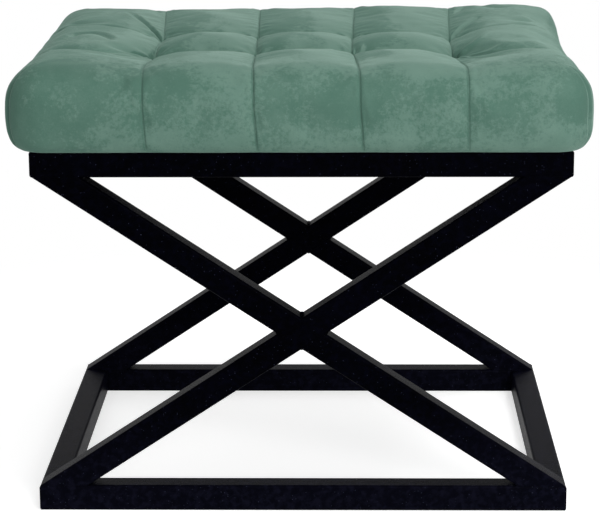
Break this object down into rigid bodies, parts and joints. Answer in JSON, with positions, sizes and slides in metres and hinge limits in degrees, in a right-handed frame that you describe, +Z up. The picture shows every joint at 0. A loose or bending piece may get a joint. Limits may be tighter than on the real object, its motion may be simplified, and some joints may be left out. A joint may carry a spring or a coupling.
{
  "type": "x frame stool",
  "caption": "Low rectangular stool with a tufted velvet cushion on a square-tube steel frame, crossed diagonals front and back.",
  "frame": {"origin": "on the floor, under the middle of the stool", "axes": "+X to the right along the long side, +Y from the front to the back, +Z up"},
  "size_m": [0.5348, 0.456, 0.4308],
  "materials": {
    "powder_coat": "satin",
    "velvet": "matte",
    "foam": "matte",
    "plywood": "matte",
    "black_cloth": "matte",
    "twine": "matte",
    "zinc_steel": "satin"
  },
  "bodies": {
    "root": {"back_bottom_rail": "powder_coat", "back_diagonal": "powder_coat", "back_diagonal_lower_half": "powder_coat", "back_diagonal_upper_half": "powder_coat", "back_top_rail": "powder_coat", "dust_cover": "black_cloth", "foam_block": "foam", "front_bottom_rail": "powder_coat", "front_diagonal": "powder_coat", "front_diagonal_lower_half": "powder_coat", "front_diagonal_upper_half": "powder_coat", "front_top_rail": "powder_coat", "left_bottom_rail": "powder_coat", "left_top_rail": "powder_coat", "right_bottom_rail": "powder_coat", "right_top_rail": "powder_coat", "screw_washer_1": "zinc_steel", "screw_washer_2": "zinc_steel", "screw_washer_3": "zinc_steel", "screw_washer_4": "zinc_steel", "seat_board": "plywood", "seat_screw_1": "zinc_steel", "seat_screw_2": "zinc_steel", "seat_screw_3": "zinc_steel", "seat_screw_4": "zinc_steel", "tie_washer_1": "zinc_steel", "tie_washer_2": "zinc_steel", "tie_washer_3": "zinc_steel", "tie_washer_4": "zinc_steel", "tie_washer_5": "zinc_steel", "tie_washer_6": "zinc_steel", "tie_washer_7": "zinc_steel", "tie_washer_8": "zinc_steel", "tuft_tie_1": "twine", "tuft_tie_2": "twine", "tuft_tie_3": "twine", "tuft_tie_4": "twine", "tuft_tie_5": "twine", "tuft_tie_6": "twine", "tuft_tie_7": "twine", "tuft_tie_8": "twine", "velvet_cover": "velvet"}
  },
  "joints": []
}
